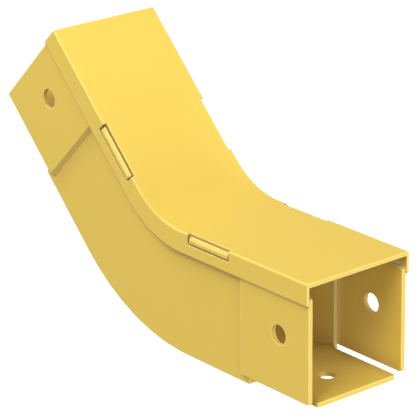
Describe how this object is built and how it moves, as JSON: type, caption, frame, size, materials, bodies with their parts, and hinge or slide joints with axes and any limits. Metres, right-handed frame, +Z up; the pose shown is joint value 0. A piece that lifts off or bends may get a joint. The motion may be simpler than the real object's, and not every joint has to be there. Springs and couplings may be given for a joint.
{
  "type": "fibre raceway inside bend fitting",
  "caption": "Duct fitting that turns a covered fibre raceway upward by 45 degrees, with open ends, fastener tongues and a clip-on cover.",
  "frame": {"origin": "middle of the level floor tongue's hole, at the tongue's underside, level with the duct's floor", "axes": "+X out of the level arm's open end, +Z up, out of the covered side; Y across the width"},
  "size_m": [0.2241, 0.061, 0.1381],
  "materials": {
    "channel": "moulded, fine satin",
    "cover": "moulded, fine satin"
  },
  "bodies": {
    "root": {"channel": "channel", "cover": "cover"}
  },
  "joints": []
}
